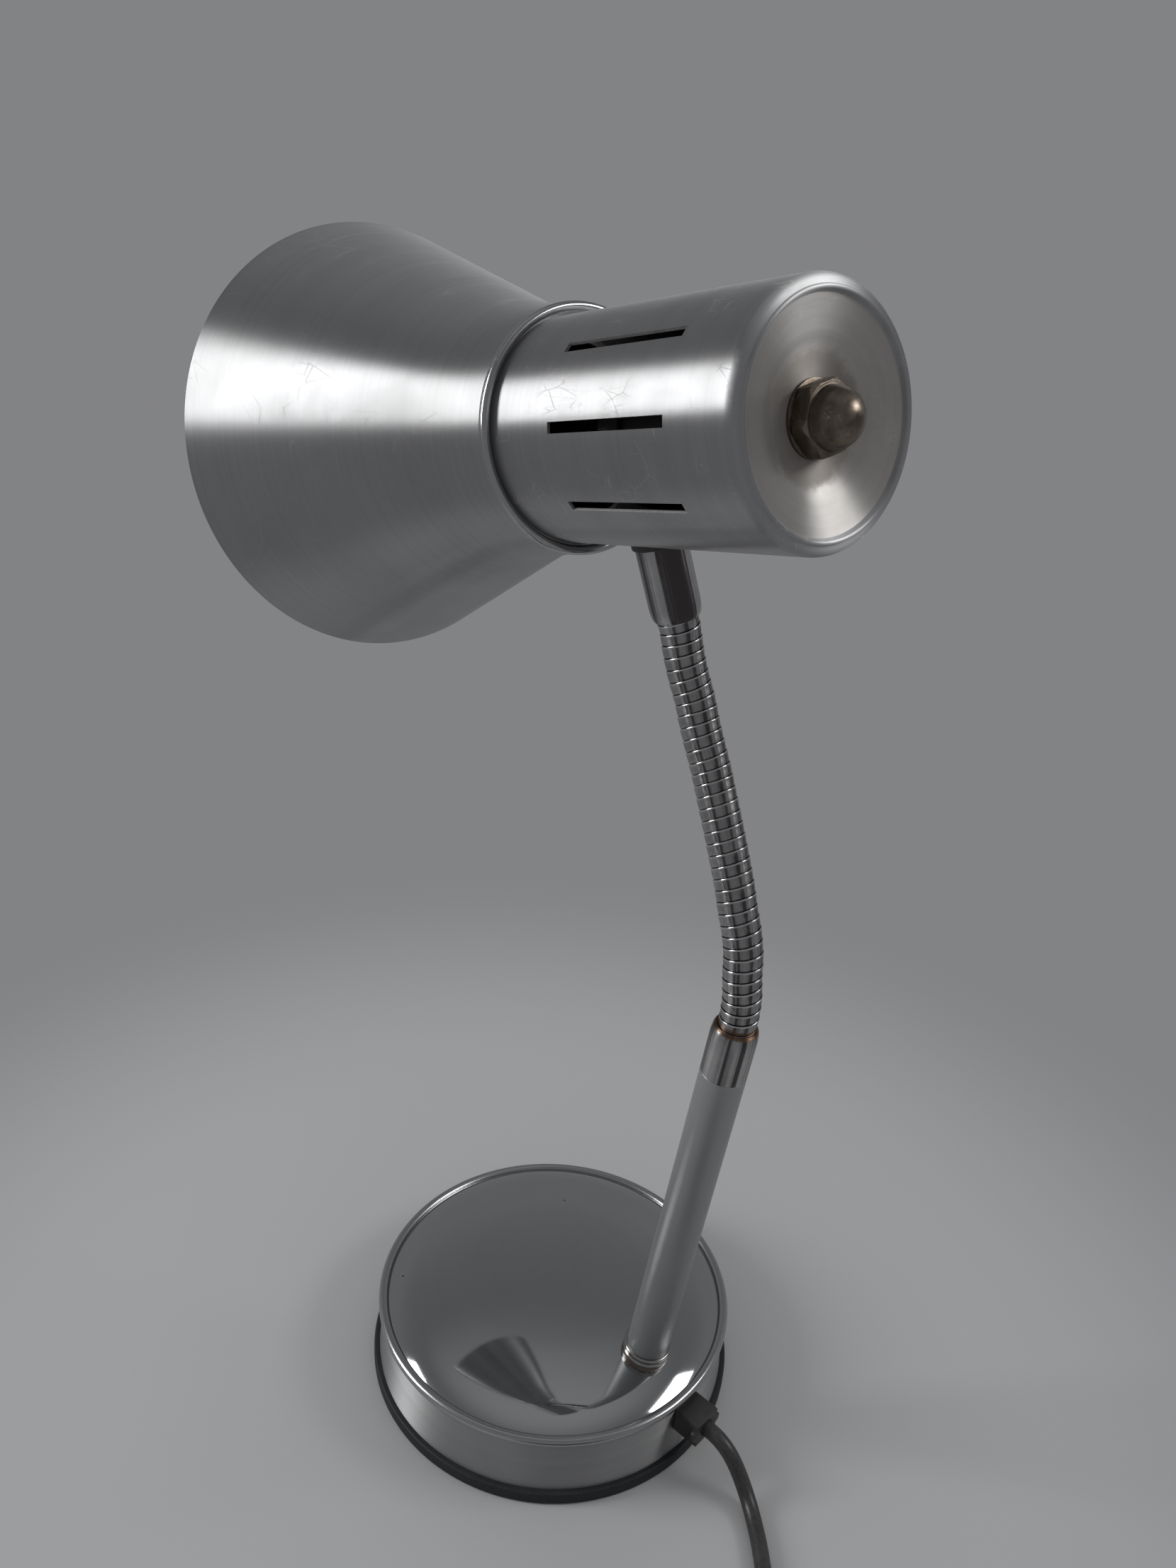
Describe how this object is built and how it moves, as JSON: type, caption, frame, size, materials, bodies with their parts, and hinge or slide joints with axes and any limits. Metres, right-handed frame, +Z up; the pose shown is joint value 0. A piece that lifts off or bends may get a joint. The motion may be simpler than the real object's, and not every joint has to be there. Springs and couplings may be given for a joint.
{
  "type": "gooseneck desk lamp",
  "caption": "Desk lamp with a weighted round base, leaning stem, bendable cupped metal neck, slotted lamp housing, flared metal shade and a cord with an inline rocker switch.",
  "frame": {"origin": "middle of the base's underside, on the surface the lamp stands on", "axes": "+Z up, -Y the side the shade looks to, +Y the side of the stem and the cord"},
  "size_m": [0.2946, 0.3288, 0.429],
  "materials": {
    "satin_aluminium": "fine satin, turned",
    "polished_plate": "mirror polish",
    "chrome": "bright plated",
    "stem_silver": "satin silver coat",
    "black_rubber": "matt",
    "black_plastic": "moulded",
    "cord_pvc": "soft sheath",
    "steel": "plated",
    "cast_iron": "painted",
    "aged_brass": "aged, tarnished",
    "brass": "plain",
    "bulb_glass": "frosted",
    "bulb_cap": "plain"
  },
  "bodies": {
    "stand": {"base_skirt": "satin_aluminium", "base_dome": "polished_plate", "base_ring": "black_rubber", "base_pad": "black_rubber", "bottom_plate": "steel", "plate_screws": "steel", "ballast_weight": "cast_iron", "stem_collar": "chrome", "stem_tube": "stem_silver", "stem_washer": "steel", "stem_nut": "steel", "lower_ferrule": "chrome", "neck_foot_ring": "chrome", "cord_gland": "black_plastic", "cord_lead": "cord_pvc", "switch_lower": "black_plastic", "switch_upper": "black_plastic", "switch_screws": "steel", "cord_link": "cord_pvc", "cord_coil": "cord_pvc", "coil_tie": "black_plastic", "cord_tail": "cord_pvc", "plug_body": "black_plastic", "plug_pins": "chrome"},
    "link_01": {"neck_link_01": "chrome"},
    "link_02": {"neck_link_02": "chrome"},
    "link_03": {"neck_link_03": "chrome"},
    "link_04": {"neck_link_04": "chrome"},
    "link_05": {"neck_link_05": "chrome"},
    "link_06": {"neck_link_06": "chrome"},
    "link_07": {"neck_link_07": "chrome"},
    "link_08": {"neck_link_08": "chrome"},
    "link_09": {"neck_link_09": "chrome"},
    "link_10": {"neck_link_10": "chrome"},
    "link_11": {"neck_link_11": "chrome"},
    "link_12": {"neck_link_12": "chrome"},
    "link_13": {"neck_link_13": "chrome"},
    "link_14": {"neck_link_14": "chrome"},
    "link_15": {"neck_link_15": "chrome"},
    "link_16": {"neck_link_16": "chrome"},
    "link_17": {"neck_link_17": "chrome"},
    "head": {"neck_top_ring": "chrome", "upper_ferrule": "chrome", "neck_washer": "black_plastic", "neck_nipple": "brass", "nipple_nut": "brass", "housing": "satin_aluminium", "shade": "satin_aluminium", "holder_barrel": "black_plastic", "holder_shell": "brass", "holder_ring": "black_plastic", "holder_cap": "black_plastic", "holder_stud": "steel", "stud_nut": "steel", "stud_washer": "steel", "acorn_washer": "aged_brass", "acorn_nut": "aged_brass", "bulb_glass": "bulb_glass", "bulb_cap": "bulb_cap"},
    "rocker": {"switch_rocker": "black_plastic"}
  },
  "joints": [
    {"name": "neck_bend_01", "type": "hinge", "parent": "stand", "child": "link_01", "pos_m": [0.00757, 0.06931, 0.20381], "axis": [0.9999, -0.0016, -0.0139], "range_deg": [-5, 5]},
    {"name": "neck_bend_02", "type": "hinge", "parent": "link_01", "child": "link_02", "pos_m": [0.00768, 0.06932, 0.21129], "axis": [0.9999, -0.0016, -0.0139], "range_deg": [-5, 5]},
    {"name": "neck_bend_03", "type": "hinge", "parent": "link_02", "child": "link_03", "pos_m": [0.00778, 0.06835, 0.21871], "axis": [0.0034, 0.9914, 0.1305], "range_deg": [-5, 5]},
    {"name": "neck_bend_04", "type": "hinge", "parent": "link_03", "child": "link_04", "pos_m": [0.00732, 0.06738, 0.22611], "axis": [0.9981, -0.0114, 0.0605], "range_deg": [-5, 5]},
    {"name": "neck_bend_05", "type": "hinge", "parent": "link_04", "child": "link_05", "pos_m": [0.00686, 0.06543, 0.23332], "axis": [0.9981, -0.0114, 0.0605], "range_deg": [-5, 5]},
    {"name": "neck_bend_06", "type": "hinge", "parent": "link_05", "child": "link_06", "pos_m": [0.00641, 0.06274, 0.24028], "axis": [-0.0111, 0.9331, 0.3595], "range_deg": [-5, 5]},
    {"name": "neck_bend_07", "type": "hinge", "parent": "link_06", "child": "link_07", "pos_m": [0.00558, 0.06006, 0.24722], "axis": [0.9938, -0.0296, 0.1075], "range_deg": [-5, 5]},
    {"name": "neck_bend_08", "type": "hinge", "parent": "link_07", "child": "link_08", "pos_m": [0.00475, 0.05705, 0.25402], "axis": [0.9938, -0.0296, 0.1075], "range_deg": [-5, 5]},
    {"name": "neck_bend_09", "type": "hinge", "parent": "link_08", "child": "link_09", "pos_m": [0.00393, 0.0539, 0.26075], "axis": [-0.0186, 0.9065, 0.4218], "range_deg": [-5, 5]},
    {"name": "neck_bend_10", "type": "hinge", "parent": "link_09", "child": "link_10", "pos_m": [0.00314, 0.05075, 0.26749], "axis": [0.9943, -0.0274, 0.1028], "range_deg": [-5, 5]},
    {"name": "neck_bend_11", "type": "hinge", "parent": "link_10", "child": "link_11", "pos_m": [0.00236, 0.04753, 0.27419], "axis": [0.9943, -0.0274, 0.1028], "range_deg": [-5, 5]},
    {"name": "neck_bend_12", "type": "hinge", "parent": "link_11", "child": "link_12", "pos_m": [0.00158, 0.0443, 0.28089], "axis": [-0.0199, 0.9013, 0.4327], "range_deg": [-5, 5]},
    {"name": "neck_bend_13", "type": "hinge", "parent": "link_12", "child": "link_13", "pos_m": [0.00132, 0.04106, 0.28763], "axis": [0.9992, 0.0028, 0.0401], "range_deg": [-5, 5]},
    {"name": "neck_bend_14", "type": "hinge", "parent": "link_13", "child": "link_14", "pos_m": [0.00105, 0.03796, 0.29443], "axis": [0.9992, 0.0028, 0.0401], "range_deg": [-5, 5]},
    {"name": "neck_bend_15", "type": "hinge", "parent": "link_14", "child": "link_15", "pos_m": [0.00078, 0.03513, 0.30135], "axis": [-0.0178, 0.9261, 0.3769], "range_deg": [-5, 5]},
    {"name": "neck_bend_16", "type": "hinge", "parent": "link_15", "child": "link_16", "pos_m": [0.00138, 0.03233, 0.30827], "axis": [0.9967, 0.0462, -0.0665], "range_deg": [-5, 5]},
    {"name": "neck_bend_17", "type": "hinge", "parent": "link_16", "child": "link_17", "pos_m": [0.00196, 0.03, 0.31535], "axis": [0.9967, 0.0462, -0.0665], "range_deg": [-5, 5]},
    {"name": "neck_bend_18", "type": "hinge", "parent": "link_17", "child": "head", "pos_m": [0.00252, 0.0282, 0.32259], "axis": [-0.0287, 0.9696, 0.243], "range_deg": [-5, 5]},
    {"name": "switch_rock", "type": "hinge", "parent": "stand", "child": "rocker", "pos_m": [0.09324, 0.09799, 0.011], "axis": [0.766, 0.6428, 0], "range_deg": [0, 16]}
  ]
}
